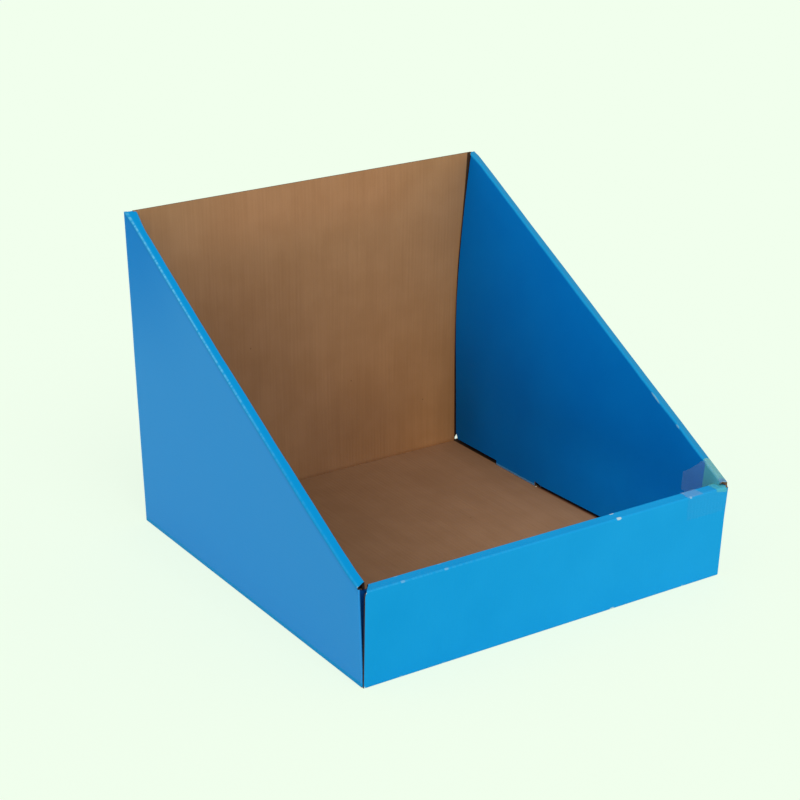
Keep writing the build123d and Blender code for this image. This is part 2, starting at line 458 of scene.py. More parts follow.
# The front wall's inner crease and inner panel reach this far to the left and to the right of the middle.
STRIP_REACH = (INNER_HALF - 2.6, EAR_HALF + 2.0)
# The outer panel's top corners are rounded off by this much.
ROUNDED = 0.9


def front_slide(x, z):
    """How far a point of the front wall stands to the right of its straight place."""
    return mix(*FRONT_SLIDE, (x + HALF_WIDTH) / WIDTH) * z / FRONT


def front(sheet):
    """The front wall: crease at the base, outer panel, level strip, inner panel and its tabs."""
    rows = []
    walked = 0.0

    def add(y, z, normal, half, beside, step):
        """A row across the wall, a step further along the sheet. half is its reach, or one to each side."""
        nonlocal walked
        walked += step
        row = []
        low, high = half if isinstance(half, tuple) else (half, half)
        for x in X_STATIONS:
            x = high if x == X_STATIONS[-1] else clip(x, -low, high)
            place = (x + front_slide(x, z), y, z)
            row.append((place, (0, *normal), (x, -BASE_Y - walked), (FRONT_WALL_AT + x, near(beside))))
        rows.append(row)

    def reach(y):
        """The strip's ends. The left one is cut askew."""
        if y <= FRONT_FACE + BOARD:
            return FRONT_HALF - 1.7, FRONT_HALF - 0.7
        cut = clip((y - FRONT_FACE - BOARD) / (FRONT_WALL - 2 * BOARD), 0, 1)
        return mix(FRONT_HALF - 2, STRIP_REACH[0], cut), STRIP_REACH[1]

    arc_step = MID_FOLD * pi / 2 / ARC_STEPS
    for a in quarter():
        place = (-BASE_Y - MID_FOLD * sin(a), OUTER_FOLD - MID_FOLD * cos(a))
        half, step = (FRONT_HALF, arc_step) if a else (BASE_X, 0)
        add(*place, (-sin(a), -cos(a), CRUSHED), half, MID_FOLD * (a - pi / 4), step)
    top = FRONT - OUTER_FOLD
    last = OUTER_FOLD
    for z in spaced(OUTER_FOLD, top, PANEL_STEP, also=(OUTER_FOLD + SUPPORT, top - SUPPORT, top - 3))[1:]:
        normal = (-1, 0) if z < top else (-1, 0, CRUSHED)
        half = FRONT_HALF - ROUNDED * smooth((z - top + 3) / 4)
        add(FRONT_FACE + HALF_BOARD, z, normal, half, min(z, top - z + 0.6), z - last)
        last = z
    for a in quarter(1):
        place = (-BASE_Y - MID_FOLD * cos(a), top + MID_FOLD * sin(a))
        half = FRONT_HALF - ROUNDED - 0.8 * sin(a)
        add(*place, (-cos(a), sin(a), CRUSHED), half, MID_FOLD * (a - pi / 4), arc_step)
    strip_end = INNER_FRONT - OUTER_FOLD
    width = strip_end + BASE_Y
    for i in range(1, 6):
        y = mix(-BASE_Y + SUPPORT, strip_end - SUPPORT, (i - 1) / 4)
        z = FRONT - HALF_BOARD - STRIP_DIP * sin(pi * i / 6)
        step = (width - 2 * SUPPORT) / 4 if i > 1 else SUPPORT
        add(y, z, (0, 1), reach(y), CREASE_MID + min(y + BASE_Y, strip_end - y), step)
    for a in quarter():
        y = strip_end + MID_FOLD * sin(a)
        normal = (sin(a), cos(a), CRUSHED)
        add(y, top + MID_FOLD * cos(a), normal, reach(y), MID_FOLD * (a - pi / 4), arc_step if a else SUPPORT)
    last = top
    for z in [*reversed(spaced(FOOT, top, PANEL_STEP, also=(top - SUPPORT,)))][1:]:
        add(INNER_FRONT - HALF_BOARD, z, (1, 0), STRIP_REACH, top - z + 0.6, last - z)
        last = z
    sheet.grid(rows)
    drop = FOOT - CLEARANCE
    for centre in (-FRONT_TAB_SPACING / 2, FRONT_TAB_SPACING / 2):
        low, high = centre - FRONT_TAB / 2 - 1e-6, centre + FRONT_TAB / 2 + 1e-6
        tab = [corner for corner in rows[-1] if low <= corner[0][0] <= high]
        end = [((p[0], p[1], CLEARANCE), normal, (flat[0], flat[1] - drop), fold) for p, normal, flat, fold in tab]
        sheet.grid([tab, end])


# The front ears, trapped in the front wall, are pressed in at their tops by this much, left and right,
EAR_DEPTH = (3.2, 1.0)
# and over this much of their length beside the bend. At their feet they are pressed in by EAR_DENT.
EAR_RUN, EAR_DENT = 2.4, 1.2
# The left one's bend stands higher than the rest of it.
EAR_RAISED = 2.8
EAR_PLACES = [150.0, 140.0, 128.0, 116.0, 105.0, HALF_WIDTH - FRONT_EAR]


def front_ear(sheet, sign):
    """The side's front ear, trapped in the front wall."""
    columns = [[] for _ in range(ARC_STEPS + 3 + len(EAR_PLACES))]
    for z in EAR_LEVELS:
        depth = mix(EAR_DENT, EAR_DEPTH[sign > 0], (z / EAR_TOP) ** 0.8)
        set_in = LEFT_EDGE * z / FRONT if sign < 0 else 0
        over = atan(depth / EAR_RUN)
        slant = hypot(EAR_RUN, depth)
        places = []
        for i in range(ARC_STEPS + 1):
            a = i / ARC_STEPS * (pi / 2 + over)
            square = (abs(cos(a)) ** 6 + abs(sin(a)) ** 6) ** (1 / 6) if a < pi / 2 else 1
            place = (BASE_X + MID_FOLD * cos(a), SIDE_FRONT + set_in - MID_FOLD * sin(a))
            places.append((*place, (cos(a), -sin(a), 0, CRUSHED, OUTER_FOLD / square - MID_FOLD), MID_FOLD * a))
        x, y, _, walk = places[-1]
        places.append((x - EAR_RUN / 3, y + depth / 3, (-sin(over), -cos(over), 0), walk + slant / 3))
        places.append((x - EAR_RUN, y + depth, (-sin(over / 2), -cos(over / 2), 0, CRUSHED), walk + slant))
        for far in EAR_PLACES:
            places.append((far, y + depth, (0, -1, 0), walk + slant + x - EAR_RUN - far))
        for number, (column, (x, y, normal, walk)) in enumerate(zip(columns, places)):
            raised = 0
            if sign < 0:
                raised = EAR_RAISED * clip(1 - (number - ARC_STEPS) / 2, 0, 1) * smooth((z - EAR_TOP + 9) / 9)
            flat = (sign * (BASE_X + z), SIDE_FRONT - walk)
            fold = (WALLS[sign] + SIDE_FRONT - walk, near(walk - CREASE_MID))
            column.append(((sign * x, y, z + raised), (sign * normal[0], *normal[1:]), flat, fold))
    sheet.grid(columns)


# Above its ears the back panel is wider by this much at each end.
BACK_WIDER = 1.3


def back(sheet):
    """The back panel and its two ears, trapped in the sides."""
    xs = [x for x in X_STATIONS if abs(x) <= INNER_HALF + 1e-6]
    hole_x = HOLE_SPACING / 2
    rows = []

    def add(y, z, normal, walk, beside, end=INNER_HALF, apex=False):
        """A row across the panel. At a hole's apex its corners meet in one point."""
        places = [x if abs(x) < INNER_HALF - 1e-6 else copysign(end, x) for x in xs]
        if apex:
            places = [copysign(hole_x, x) if abs(abs(x) - hole_x) < HOLE_OUT else x for x in places]
        rows.append([((x, y, z), (0, *normal), (x, BASE_Y + walk), (BACK_WALL_AT + x, near(beside))) for x in places])

    for a in quarter():
        place = (BASE_Y + MID_FOLD * sin(a), OUTER_FOLD - MID_FOLD * cos(a))
        add(*place, (sin(a), -cos(a), CRUSHED), MID_FOLD * a, MID_FOLD * (a - pi / 4))
    for z in BACK_LEVELS[1:]:
        end = INNER_HALF + (BACK_WIDER if z > EAR_ROOF + 0.01 else 0)
        add(REAR_FACE - HALF_BOARD, z, (1, 0), z, z, end, apex=abs(z - HOLE_TOP) < 0.01)
    for low, high in zip(rows, rows[1:]):
        at_hole = OUTER_FOLD + SUPPORT - 0.01 < low[0][0][2] < HOLE_TOP - 0.01
        for j in range(len(xs) - 1):
            middle = abs(xs[j] + xs[j + 1]) / 2
            if not (at_hole and hole_x - HOLE / 2 < middle < hole_x + HOLE_OUT):
                sheet.face([low[j], low[j + 1], high[j + 1], high[j]])

    y_flat = REAR_FACE - HALF_BOARD
    turned = y_flat - MID_FOLD
    fold_x = EAR_HALF - HALF_BOARD
    start = fold_x - MID_FOLD - INNER_HALF
    places = [(INNER_HALF, y_flat, (0, 1, 0), 0.0), (fold_x - MID_FOLD, y_flat, (0, 1, 0), start)]
    for a in quarter(1):
        place = (fold_x - MID_FOLD * (1 - sin(a)), y_flat - MID_FOLD * (1 - cos(a)))
        places.append((*place, (sin(a), cos(a), 0, CRUSHED), start + MID_FOLD * a))
    for y in spaced(REAR_FACE - REAR_EAR, turned, 12)[-2::-1]:
        places.append((fold_x, y, (1, 0, 0), start + MID_FOLD * pi / 2 + turned - y))
    for sign in (-1, 1):
        columns = []
        for x, y, normal, walk in places:
            column = []
            for z in BACK_LEVELS:
                if z < RELIEF - 1e-6:
                    continue
                z = clip(z, RELIEF, top_at(y) - EAR_BELOW)
                across = INNER_HALF + walk
                flat = (sign * across, BASE_Y + z)
                fold = (BACK_WALL_AT + sign * across, near(walk - 9))
                column.append(((sign * x, y, z), (sign * normal[0], *normal[1:]), flat, fold))
            columns.append(column)
        sheet.grid(columns)


# A side's slots are longer than its tabs, in front of them.
SLOT_SPARE = 3.6


def base(sheet):
    """The base, with its slots."""
    room = 2 * CLEARANCE
    slots = []
    for sx in (-1, 1):
        for sy in (-1, 1):
            cy = sy * SIDE_TAB_SPACING / 2
            cx = sx * inner_x(sx, cy, HALF_BOARD, top_at(cy))
            ends = (cy - SIDE_TAB / 2 - SLOT_SPARE, cy + SIDE_TAB / 2 + CLEARANCE)
            slots.append((cx - HALF_BOARD - room, cx + HALF_BOARD + room, *ends))
        cx, cy = sx * FRONT_TAB_SPACING / 2, INNER_FRONT - HALF_BOARD
        sides = (cy - HALF_BOARD - room, cy + HALF_BOARD + room)
        slots.append((cx - FRONT_TAB / 2 - room, cx + FRONT_TAB / 2 + room, *sides))

    def cuts(stations, half, ends):
        """Where the base is divided: at the stations and at the slots' ends."""
        stops = [clip(s, -half, half) for s in stations] + [slot[i] for slot in slots for i in ends]
        return sorted({round(s, 6) for s in stops})

    xs = cuts(X_STATIONS, BASE_X, (0, 1))
    ys = cuts([-BASE_Y, *Y_STATIONS], BASE_Y, (2, 3))

    def corner(x, y):
        beside = min(BASE_X - abs(x), BASE_Y - abs(y)) + 1.1
        return (x, y, HALF_BOARD), (0, 0, -1), (x, y), (BACK_WALL_AT + x, near(beside))

    for x0, x1 in zip(xs, xs[1:]):
        for y0, y1 in zip(ys, ys[1:]):
            mx, my = (x0 + x1) / 2, (y0 + y1) / 2
            if any(s[0] < mx < s[1] and s[2] < my < s[3] for s in slots):
                continue
            sheet.face([corner(x0, y0), corner(x1, y0), corner(x1, y1), corner(x0, y1)])


def material(name):
    made = bpy.data.materials.new(name)
    made.use_nodes = True
    return made, Nodes(made.node_tree)


class Nodes:
    """Short calls for wiring a material. Its colour is built up in self.colour, coat by coat."""

    def __init__(self, tree):
        self.tree = tree
        self.shader = next(n for n in tree.nodes if n.type == "BSDF_PRINCIPLED")
        self.colour = None

    def new(self, kind, inputs=(), **settings):
        node = self.tree.nodes.new("ShaderNode" + kind)
        for key, value in settings.items():
            setattr(node, key, value)
        for key, value in dict(inputs).items():
            self.put(node.inputs[key], value)
        return node

    def put(self, socket, value):
        if isinstance(value, bpy.types.NodeSocket):
            self.tree.links.new(value, socket)
        else:
            socket.default_value = value

    def math(self, operation, *values):
        node = self.new("Math", operation=operation)
        for socket, value in zip(node.inputs, values):
            self.put(socket, value)
        return node.outputs[0]

    def times(self, value, *factors):
        for factor in factors:
            value = self.math("MULTIPLY", value, factor)
        return value

    def plus(self, a, b):
        return self.math("ADD", a, b)

    def minus(self, a, b):
        return self.math("SUBTRACT", a, b)

    def abs(self, value):
        return self.math("ABSOLUTE", value)

    def place(self, title):
        """Millimetres on one of the flat maps, as (vector, x, y)."""
        uv = self.new("UVMap", uv_map=title).outputs[0]
        scaled = self.new("VectorMath", {0: uv, 3: UV_MM}, operation="SCALE").outputs[0]
        parts = self.new("SeparateXYZ", {0: scaled})
        return scaled, parts.outputs[0], parts.outputs[1]

    def noise(self, vector, scale, detail=2.0, roughness=0.5, stretch=(1, 1, 1)):
        moved = self.new("VectorMath", {0: vector, 1: stretch}, operation="MULTIPLY").outputs[0]
        inputs = {"Vector": moved, "Scale": scale, "Detail": detail, "Roughness": roughness}
        return self.new("TexNoise", inputs).outputs["Fac"]

    def ramp(self, value, low, high, start=0.0, end=1.0, kind="SMOOTHSTEP"):
        """From start to end while the value goes from low to high, and level beyond."""
        inputs = {0: value, 1: low, 2: high, 3: start, 4: end}
        return self.new("MapRange", inputs, interpolation_type=kind).outputs[0]

    def line(self, distance, full, none):
        """1 near a line, on either side of it, and 0 beyond."""
        return self.ramp(self.abs(distance), full, none, 1.0, 0.0)

    def blend(self, share, a, b, kind="MIX"):
        node = self.new("Mix", data_type="RGBA", blend_type=kind)
        self.put(node.inputs[0], share)
        self.put(node.inputs[6], a)
        self.put(node.inputs[7], b)
        return node.outputs[2]

    def tint(self, share, factor):
        """Multiply a share of the colour so far by the factor."""
        self.cover(share, self.blend(1.0, self.colour, factor, "MULTIPLY"))

    def cover(self, share, colour):
        """Cover a share of the colour so far by another."""
        self.colour = self.blend(share, self.colour, colour)

    def paint(self, levels, *shares):
        """Cover the colour so far by a plain one, to the product of the shares."""
        self.cover(self.times(*shares), srgb(*levels))

    def surface(self, roughness, specular):
        for title, value in (("Base Color", self.colour), ("Roughness", roughness), ("Specular IOR Level", specular)):
            self.put(self.shader.inputs[title], value)

    def bump(self, height, distance, strength=1.0, normal=None):
        inputs = {"Height": height, "Distance": distance, "Strength": strength}
        if normal is not None:
            inputs["Normal"] = normal
        return self.new("Bump", inputs).outputs[0]


def srgb(*levels):
    """A colour as the eye reads it, in linear light."""
    return (*[c / 12.92 if c <= 0.04045 else ((c + 0.055) / 1.055) ** 2.4 for c in (v / 255 for v in levels)], 1.0)


def slope_walk(n, bx, by):
    """On a side wall's part of the blank, the way across from its strip's outer crease."""
    beyond = n.minus(n.abs(bx), BASE_X + FRONT)
    rear = n.minus(by, FRONT_FACE)
    return n.minus(n.times(beyond, COS), n.times(rear, SIN))


def streaks(n, blank):
    """Faint lines along the flutes, which run from the front to the rear of the blank."""
    fine = n.noise(blank, 1.0, 2, 0.6, (0.55, 0.012, 1))
    broad = n.noise(blank, 1.0, 2, 0.5, (0.09, 0.006, 1))
    return n.plus(n.times(fine, 0.6), n.times(broad, 0.4))


def flutes(n, bx):
    """The flutes' wave, from -1 to 1."""
    return n.math("SINE", n.times(bx, 2 * pi / FLUTE_PITCH))


def relief(n, blank, bx, flute_height, grain, detail, grain_height):
    """The flutes, which show faintly through the liner, and the paper's grain. Heights are in metres."""
    washboard = n.bump(flutes(n, bx), flute_height)
    fine = n.noise(blank, grain, detail)
    n.put(n.shader.inputs["Normal"], n.bump(fine, grain_height, 0.6, washboard))


def spot(n, x, y, at, size):
    """One worn spot, of size (x, y) in millimetres."""
    dx = n.math("DIVIDE", n.minus(x, at[0]), size[0])
    dy = n.math("DIVIDE", n.minus(y, at[1]), size[1])
    far = n.plus(n.times(dx, dx), n.times(dy, dy))
    return n.ramp(far, 0.3, 1.2, 1.0, 0.0)


OUTSIDE_BLUE = (srgb(17, 161, 230), srgb(28, 172, 240))
# The outer side panels' print with a painted sheen, and without it at the top rear corner.
SHEEN_SIDE_BLUE = (srgb(56, 162, 241), srgb(0, 142, 232))
# The inner faces' blue: a darker, deeper copy of the print, painted shade.
SHADED_INNER_BLUE = (srgb(0, 133, 228), srgb(2, 137, 231))
LINER = (srgb(180, 134, 93), srgb(187, 141, 100))
# Worn places on the print: along and beside on the fold map, size both ways, and strength
WORN = (
    (FRONT_WALL_AT + 60.4, 0.1, 2.4, 1.1, 0.8),
    (FRONT_WALL_AT + 131.9, 0.1, 1.3, 0.8, 0.45),
    (FRONT_WALL_AT - 99.3, 0.1, 2.0, 0.7, 0.2),
    (FRONT_WALL_AT - 137.1, 0.1, 2.0, 0.7, 0.2),
    (FRONT_WALL_AT - 168.6, -0.2, 0.8, 1.9, 0.85),
)


def printed_board():
    made, n = material("printed_blue")
    blank, bx, by = n.place("Blank")
    fold, along, beside = n.place("Fold")
    walk = slope_walk(n, bx, by)
    on_side = n.times(n.ramp(n.abs(bx), BASE_X + 3, BASE_X + 5), n.ramp(walk, -400, -399))
    left = n.math("LESS_THAN", bx, -BASE_X)
    inside = n.times(on_side, n.ramp(walk, STRIP_END - 0.5, STRIP_END + 0.4))
    mottle = n.noise(blank, 0.02, 3)
    # The outer print varies at random, and is painted lighter towards the right: painted light.
    tone_and_light = n.plus(n.times(n.ramp(mottle, 0.3, 0.7), 0.3), n.ramp(bx, -190, 170, 0.0, 0.7))
    outer = n.blend(tone_and_light, *OUTSIDE_BLUE)
    inner = n.blend(n.ramp(mottle, 0.3, 0.7), *SHADED_INNER_BLUE)
    n.colour = n.blend(inside, outer, inner)

    # The inner side panels are painted darker low down at the rear, painted shade, and paler low down at the front,
    # painted light.
    place_y = n.plus(n.minus(along, RIGHT_WALL), n.times(left, RIGHT_WALL - LEFT_WALL))
    below = n.math("DIVIDE", n.minus(walk, STRIP_END), COS)
    low = n.minus(n.plus(FRONT, n.times(n.minus(place_y, FRONT_FACE), RISE)), below)
    rear_low_shade = n.times(inside, n.ramp(low, 120, 25), n.ramp(place_y, 110, 172))
    front_low_light = n.times(inside, n.ramp(low, 80, 35), n.ramp(place_y, 90, -50))
    n.tint(rear_low_shade, (1.2, 0.74, 0.7, 1))
    n.tint(front_low_light, (1.3, 1.3, 1.26, 1))

    # The outer side panels carry a painted sheen, a pale veil of reflected light, weakest at the top rear corner and
    # gone before the crease.
    high = n.minus(n.abs(bx), BASE_X)
    less_sheen = n.times(n.ramp(high, 130, 275), n.ramp(by, 40, 175))
    sheen_flank = n.times(on_side, n.ramp(walk, -2.9, -0.9, 1.0, 0.0))
    n.cover(sheen_flank, n.blend(less_sheen, *SHEEN_SIDE_BLUE))
    # The right strip is painted paler and greyer, a painted sheen, most towards its outer edge.
    strip_sheen = n.times(on_side, n.math("GREATER_THAN", bx, 0), n.ramp(walk, INNER_MID + 0.3, INNER_MID - 0.8))
    n.tint(n.times(strip_sheen, n.ramp(walk, -0.8, 0)), (1.0, 0.81, 0.81, 1))
    strip_sheen = n.times(strip_sheen, n.ramp(walk, -0.8, 0), n.ramp(walk, 5.5, 0.0, 0.3, 0.65))
    n.paint((56, 148, 194), strip_sheen)
    # The left strip is painted a deeper blue than the rest of the outer print: painted shade.
    full = n.times(on_side, left, n.ramp(walk, 0.2, 0.8), n.ramp(walk, INNER_MID + 0.5, INNER_MID))
    n.paint((6, 153, 223), full, 0.9)
    # The front ears are painted dark blue: painted shade, where they lie in the shade of the front wall.
    ear = n.times(n.ramp(by, SIDE_FRONT - 0.35, SIDE_FRONT - 0.9), n.ramp(high, 0.5, 1.0))
    n.paint((0, 62, 142), ear, 0.93)

    # The print has cracked along the creases. Along the left strip's outer crease runs a painted highlight, partly
    # cracked print, strongest towards the rear, with a faint band of painted shade just below it.
    beads = n.ramp(n.noise(fold, 1.0, 2, 0.6, (0.34, 0.0, 1)), 0.38, 0.6, 0.12, 1.0)
    crease_highlight = n.times(n.line(n.minus(walk, 0.2), 0.15, 0.8), on_side, left)
    crease_highlight = n.times(crease_highlight, beads, n.ramp(by, -110, 70, 0.1, 1.0))
    crease_highlight = n.times(crease_highlight, n.ramp(along, LEFT_WALL + REAR_FACE - 4, LEFT_WALL + REAR_FACE - 1, 1.0, 0.2))
    shade = n.times(n.ramp(walk, -6, -1.2), n.ramp(walk, -1.2, -0.6, 1.0, 0.0))
    n.paint((0, 90, 170), shade, left, 0.16)
    n.paint((120, 214, 255), crease_highlight, 0.75)
    fine_edge = n.line(beside, 0.35, 0.8)
    cracks = n.times(fine_edge, n.ramp(n.noise(fold, 1.0, 4, 0.75, (0.5, 0.9, 1)), 0.62, 0.74))
    cracks = n.times(cracks, n.ramp(high, 20, 60, 0.15, 0.5))
    n.paint((150, 215, 245), cracks)
    for place_y, wide, strength in ((-93.5, 6.0, 0.75), (-123.0, 2.2, 0.6)):
        mark = spot(n, along, walk, (RIGHT_WALL + place_y, INNER_MID + 0.6), (wide, 0.6))
        n.paint((150, 214, 240), mark, on_side, strength)
    # A painted highlight: a light line along the left part of the front's outer crease
    rim_highlight = n.times(n.ramp(by, -BASE_Y - 82.5, -BASE_Y - 81.5), n.ramp(by, -BASE_Y - 76, -BASE_Y - 77))
    rim_highlight = n.times(rim_highlight, n.line(beside, 0.3, 0.9), n.ramp(bx, -110, 20, 0.12, 0.03))
    n.paint((110, 215, 255), rim_highlight, beads)
    torn = spot(n, along, walk, (LEFT_WALL + SIDE_FRONT + 2.4, -0.1), (0.8, 0.6))
    n.paint((200, 205, 200), torn, on_side, 0.6)
    # A painted highlight along each tab's foot, where it enters its slot.
    tab_highlight = n.line(n.minus(beside, TAB_AT + 0.6), 0.4, 0.8)
    n.paint((150, 225, 240), tab_highlight, 0.6)
    # A painted highlight: a pale line across the right strip's front end, at the film's edge.
    film_edge_highlight = spot(n, along, walk, (RIGHT_WALL - 178.8, 3.0), (1.3, 4.5))
    n.paint((196, 220, 222), film_edge_highlight, on_side, 0.5)
    for place_x, place_y, wide, tall, strength in WORN:
        mark = spot(n, along, beside, (place_x, place_y), (wide, tall))
        n.paint((214, 236, 240), mark, strength)

    n.surface(0.42, 0.03)
    relief(n, blank, bx, 0.000012, 2.2, 3, 0.00002)
    return made


# The right inner panel's rear edge, against the back panel: upright to this height, then it leans outwards.
REAR_EDGE_X, REAR_EDGE_GAIN, REAR_EDGE_FROM = 153.6, 6.3, 172.0
# Small marks on the liner, as (place on the blank, size, strength, colour)
BASE_MARKS = (
    ((155.3, 43.5), (1.2, 1.0), 0.7, srgb(150, 150, 140)),
    ((159.2, -20.0), (0.9, 0.8), 0.6, srgb(200, 180, 150)),
)
SPECKS = ((118.0, 233.0), (-62.0, 320.0), (40.0, 268.0), (-20.0, -60.0), (66.0, 24.0))


def bare_board():
    made, n = material("brown_liner")
    blank, bx, by = n.place("Blank")
    _, along, beside = n.place("Fold")
    mottle = n.noise(blank, 0.03, 4)
    n.colour = n.blend(n.ramp(mottle, 0.25, 0.75), *LINER)
    lines = n.ramp(streaks(n, blank), 0.3, 0.7)
    n.paint((150, 106, 70), lines, 0.22)
    fibre = n.ramp(n.noise(blank, 1.0, 3, 0.7, (0.9, 0.35, 1)), 0.68, 0.78)
    n.paint((120, 84, 56), fibre, 0.28)
    crease = n.line(beside, 0.3, 1.1)
    n.paint((96, 66, 44), crease, 0.35)
    # Painted shadow: the base and the foot of the back are painted greyer and darker, most to the left, where the
    # left wall's shadow falls, and the base is painted lighter towards the front and darker towards the rear.
    on_base = n.times(n.math("LESS_THAN", n.abs(bx), BASE_X), n.math("LESS_THAN", n.abs(by), BASE_Y))
    base_shadow = n.blend(n.ramp(bx, -120, 150), srgb(186, 184, 184), srgb(236, 238, 244))
    front_light_rear_shade = n.blend(n.ramp(by, -80, 150), (1.17, 1.18, 1.2, 1), (0.9, 0.87, 0.83, 1))
    base_shadow = n.blend(1.0, base_shadow, front_light_rear_shade, "MULTIPLY")
    n.tint(on_base, base_shadow)
    # Painted light and shade on the back: darker low down, lighter on its right part mostly low down, darker at the
    # left of its middle heights and low in its middle, and lighter at the top of its middle.
    low = n.ramp(by, BASE_Y + 20, BASE_Y + 260, 1.0, 0.0)
    on_back = n.ramp(by, BASE_Y, BASE_Y + 1)
    n.tint(n.times(low, on_back), srgb(232, 229, 224))
    right_light = n.times(n.ramp(bx, -70, 150), n.plus(0.15, n.times(low, 0.85)))
    n.tint(n.times(right_light, on_back), (1.5, 1.38, 1.12, 1))
    high = n.minus(by, BASE_Y)
    left_shade = n.times(n.ramp(bx, 30, -90), n.ramp(high, 50, 130), n.ramp(high, 255, 180))
    foot = n.times(n.ramp(high, 110, 30), n.ramp(bx, -50, 20), n.ramp(bx, 130, 70))
    n.tint(n.times(left_shade, on_back), (0.87, 0.83, 0.79, 1))
    n.tint(n.times(foot, on_back), (0.84, 0.84, 0.88, 1))
    crown_light = n.times(n.ramp(high, 215, 265), n.ramp(bx, -140, -50), n.ramp(bx, 130, 60))
    n.tint(n.times(crown_light, on_back), (1.12, 1.07, 1.07, 1))
    # No light reaches the ears inside the walls: the back panel is painted near black where they lie, painted shade.
    late = n.math("POWER", n.ramp(high, REAR_EDGE_FROM, BACK, kind="LINEAR"), CURVE)
    panel_line = n.plus(REAR_EDGE_X, n.times(late, REAR_EDGE_GAIN))
    behind = n.ramp(n.minus(bx, panel_line), -0.3, 0.6)
    behind = n.math("MAXIMUM", behind, n.ramp(n.times(bx, -1), INNER_HALF + 0.8, INNER_HALF + 1.6))
    n.paint((36, 24, 18), behind, on_back, 0.9)

    # Under the walls no light reaches the base, so it is painted near black there, painted shade; its edge there is
    # rust brown towards the front.
    late = n.math("POWER", n.ramp(by, FOOT_FROM, FOOT_TO, kind="LINEAR"), CURVE)
    foot_line = n.plus(FOOT_X, n.times(late, FOOT_GAIN))
    under_wall_shade = n.times(n.ramp(n.minus(bx, foot_line), -0.3, 0.5), on_base)
    rust = n.times(n.ramp(n.minus(bx, foot_line), -2.2, -0.9), n.ramp(by, 46, 44), on_base)
    n.paint((104, 46, 30), rust, n.ramp(by, 40, -150, 0.55, 0.85))
    n.paint((34, 24, 18), under_wall_shade, 0.85)
    for at, size, strength, shade in BASE_MARKS:
        mark = n.times(spot(n, bx, by, at, size), on_base, strength)
        n.cover(mark, shade)
    # Painted shade: the inside of the left wall's hollow near the front corner is painted near black.
    hollow_shade = n.times(n.line(n.minus(along, LEFT_WALL + SIDE_FRONT), 24, 30), n.math("LESS_THAN", bx, -BASE_X - 60))
    n.paint((22, 14, 12), hollow_shade, 0.9)
    for at in SPECKS:
        n.paint((84, 58, 40), spot(n, bx, by, at, (0.8, 0.7)), 0.5)

    n.surface(0.85, 0.15)
    relief(n, blank, bx, 0.00002, 1.1, 4, 0.00006)
    return made


# Cut ends at the front left corner painted dark, painted shade in the gaps there, as (place along, reach, colour)
SHADED_CUT_ENDS = ((LEFT_WALL + SIDE_FRONT, 6, srgb(12, 16, 30)), (FRONT_WALL_AT - FRONT_HALF, 12, srgb(66, 46, 40)))


def cut_board():
    made, n = material("cut_edge")
    _, run, through = n.place("Blank")
    _, along, _ = n.place("Fold")
    middle = n.plus(HALF_BOARD, n.times(flutes(n, run), 0.42))
    medium = n.line(n.minus(through, middle), 0.1, 0.26)
    liners = n.ramp(n.abs(n.minus(through, HALF_BOARD)), 0.5, 0.6)
    paper = n.math("MAXIMUM", medium, liners)
    n.colour = n.blend(paper, srgb(60, 43, 31), srgb(166, 130, 97))
    for at, reach, shade in SHADED_CUT_ENDS:
        end = n.line(n.minus(along, at), reach, reach + 2)
        n.cover(n.times(end, 0.92), shade)
    n.surface(0.9, 0.2)
    return made


FILM_ALPHA = 0.025


def clear_film():
    """Thin clear film: what lies behind it shows, with a tint that changes across it."""
    made, n = material("thin_film")
    _, bx, by = n.place("Blank")
    _, along, _ = n.place("Fold")
    walk = slope_walk(n, bx, by)
    side_part = n.ramp(bx, BASE_X + 4, BASE_X + 5)
    panel = n.times(side_part, n.ramp(walk, STRIP_END - 1, STRIP_END))
    strip = n.minus(side_part, panel)
    bridge = n.ramp(along, RIGHT_WALL + INNER_START + 6.4, RIGHT_WALL + INNER_START + 7.2, 1.0, 0.0)
    front_part = n.minus(1.0, side_part)
    slanted = n.minus(by, n.times(bx, 0.227))
    corner = n.times(front_part, n.ramp(bx, 157.5, 158.5), n.ramp(slanted, -293.8, -294.8))
    left_end = n.times(front_part, n.ramp(bx, 145, 143.5), n.ramp(by, -260, -260.6))
    front_end = n.ramp(along, RIGHT_WALL - 177, RIGHT_WALL - 174.5, 1.0, 0.0)
    n.colour = n.blend(corner, srgb(120, 190, 220), srgb(132, 244, 214))
    n.paint((172, 212, 240), left_end)
    n.cover(panel, n.blend(bridge, srgb(126, 196, 255), srgb(110, 222, 240)))
    n.cover(strip, n.blend(front_end, srgb(170, 240, 218), srgb(150, 190, 212)))
    alpha = FILM_ALPHA
    on_panel = n.plus(0.2, n.times(bridge, 0.38))
    for part, added in ((corner, 0.17), (left_end, 0.13), (panel, on_panel), (strip, 0.25)):
        alpha = n.plus(alpha, n.times(part, added))
    n.surface(0.22, 0.2)
    n.put(n.shader.inputs["Alpha"], alpha)
    return made


FILM, FILM_LEFT, FILM_REACH, FILM_CLIMB, FILM_DROP = 0.2, 129.0, 46.0, 26.0, 20.0
# The film's middle stands off the board's middle surface by this much.
FILM_OFF = HALF_BOARD + 0.2
FILM_STEP = 2.2
# The film's start on the side's strip
FILM_START = SIDE_FRONT + 1.3
# The film's upper edge on the inner panel: height at its rear, slope and bend towards the front
FILM_EDGE = (77.5, 0.62, 0.011)


